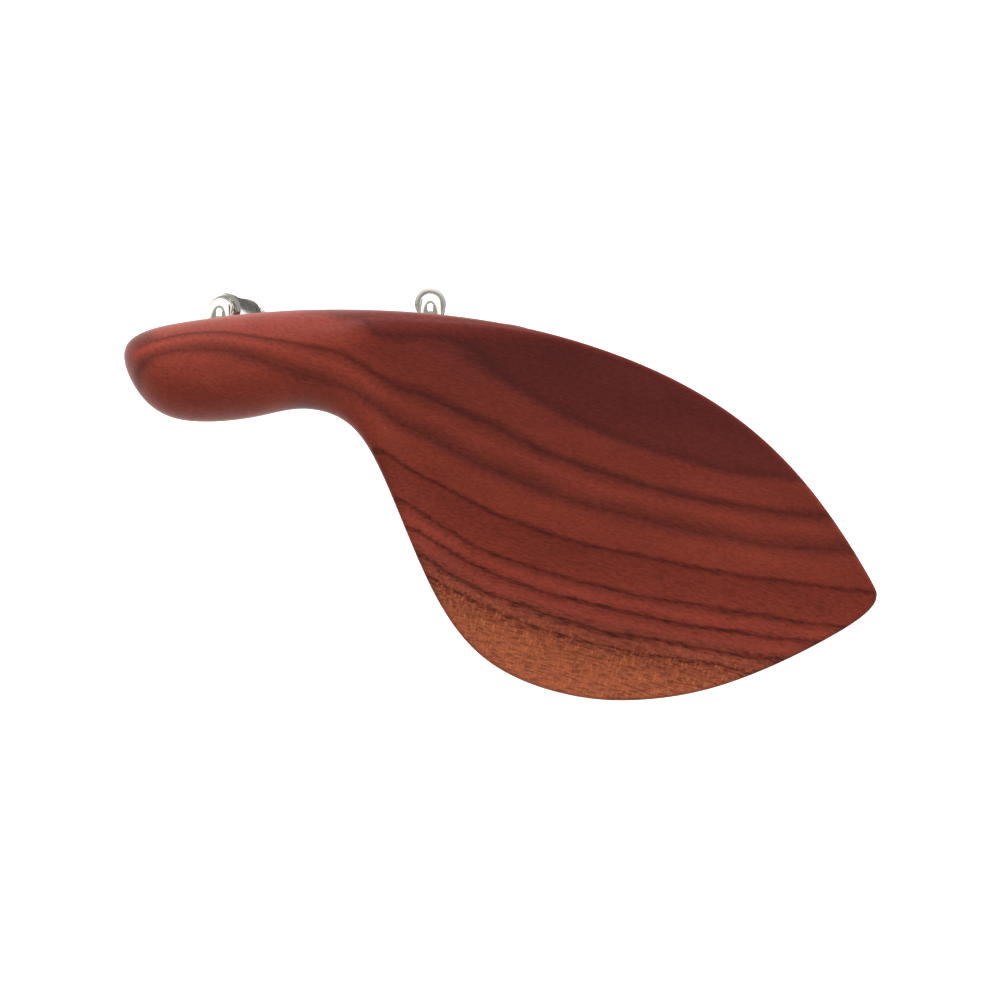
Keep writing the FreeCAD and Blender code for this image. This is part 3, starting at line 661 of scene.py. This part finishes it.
for name in legs:
    dress(solePad(name), "wooden_body", cork, [name + "_sole_cork"])
    dress(jawPad(name), name + "_foot", cork, [name + "_foot_cork"])
    dress(bentRod(name, "upper"), "wooden_body", nickel, [name + "_upper_rod"], sharp=60)
    dress(bentRod(name, "lower"), name + "_foot", nickel, [name + "_lower_rod"], sharp=60)
print("corks and rods")

for name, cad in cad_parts.items():
    cad.data.materials.clear()
    cad.data.materials.append(brass if "rivet" in name else steel if "screw" in name
                              else cork if "cork" in name else pear if name == "chin_plate" else nickel)

studio = {
    "floorZ": cadBox[0].z - 0.0045,        # clear of the feet when they are wide open
    "floorSize": 4.0, "floorColour": "f4f3f1",
    "floorGlow": 0.58, "boxPower": 0.42, "tailBoxPower": 4.8, "sky": 0.5,
    "camera": (19.35, -4.8, 200.0), "aim": (29.3, -27.7, 16.0), "lens": 41.7,
    # each card, a dark sheet of painted shade for the metal to reflect: how far its middle lies behind
    # the leg, half its size, its underside and its top, then its grey
    "cardBehind": 12, "cardHalf": (13, 16), "cardHeights": (-48.1, -47.9), "shadeCardColour": "5c5c5c",
}


def aimAt(thing, place, aim, up=(0, 1, 0)):
    # turns -Z towards the aim with Y as near as can be to up
    back = (Vector(place) - Vector(aim)).normalized()
    right = Vector(up).cross(back).normalized()
    turn = Matrix((right, back.cross(right), back)).transposed().to_4x4()
    thing.matrix_world = Matrix.Translation(place) @ turn


def studioFloor():
    half, z = studio["floorSize"] / 2, studio["floorZ"]
    mesh = bpy.data.meshes.new("studio floor")
    corners = [(-half, -half, z), (half, -half, z), (half, half, z), (-half, half, z)]
    mesh.from_pydata(corners, [], [(0, 1, 2, 3)])
    floor = bpy.data.objects.new("studio_floor", mesh)
    bpy.context.scene.collection.objects.link(floor)
    material, tree, shader = newMaterial("matt white paper")
    shader.inputs["Base Color"].default_value = linear(studio["floorColour"])
    shader.inputs["Roughness"].default_value = 0.9
    # a light table: it glows a little, so that no shadow shows on it
    shader.inputs["Emission Color"].default_value = (1, 1, 1, 1)
    shader.inputs["Emission Strength"].default_value = studio["floorGlow"]
    mesh.materials.append(material)


def softLight(name, place, size, power):
    lamp = bpy.data.lights.new(name, "AREA")
    lamp.shape, lamp.size, lamp.size_y, lamp.energy = "RECTANGLE", *size, power
    holder = bpy.data.objects.new(name, lamp)
    bpy.context.scene.collection.objects.link(holder)
    aimAt(holder, place, (0.03, -0.03, 0.0), up=(0, 0, 1))


studioFloor()
for name, place, size, power in (
        ("left_soft_box", (-0.50, 0.05, 0.32), (0.4, 0.3), "boxPower"),
        ("right_soft_box", (0.56, -0.05, 0.32), (0.4, 0.3), "boxPower"),
        ("scroll_soft_box", (0.03, -0.60, 0.32), (0.5, 0.3), "boxPower"),
        ("tail_soft_box", (0.03, 0.55, 0.30), (0.5, 0.3), "tailBoxPower")):
    softLight(name, place, size, studio[power])

# grey cards lie under the metal legs, seen only in their polish: they are painted shade, a dark
# sheet that the polish reflects where there is only shade below, and so they draw its outlines
for legX, legY in legs.values():
    plan = oblong((legX, legY + studio["cardBehind"]), studio["cardHalf"])
    card = makeMesh("painted_shade_card", *prism(plan, [(z, 0) for z in studio["cardHeights"]]))
    material, tree, shader = newMaterial("painted reflected shade card")
    cardNoise = node(tree, "ShaderNodeTexNoise", {"Scale": 900.0}).outputs[0]
    cardRoughness = node(tree, "ShaderNodeMapRange", {0: cardNoise, 3: 0.8, 4: 1.0}).outputs[0]
    tree.links.new(cardRoughness, shader.inputs["Roughness"])
    # the card's grey is the painted shade that the polish reflects
    shader.inputs["Base Color"].default_value = linear(studio["shadeCardColour"])
    card.data.materials.append(material)
    card.visible_camera = card.visible_diffuse = card.visible_shadow = False
world = bpy.data.worlds.new("pale studio")
world.use_nodes = True
world.node_tree.nodes["Background"].inputs["Color"].default_value = (1, 1, 1, 1)
world.node_tree.nodes["Background"].inputs["Strength"].default_value = studio["sky"]
bpy.context.scene.world = world

lens = bpy.data.cameras.new("camera")
lens.lens, lens.sensor_width, lens.clip_start, lens.clip_end = studio["lens"], 36.0, 0.005, 20.0
camera = bpy.data.objects.new("camera", lens)
bpy.context.scene.collection.objects.link(camera)
aimAt(camera, Vector(studio["camera"]) * mm, Vector(studio["aim"]) * mm)
bpy.context.scene.camera = camera
bpy.context.scene.view_settings.view_transform = "Standard"
print("studio ready")
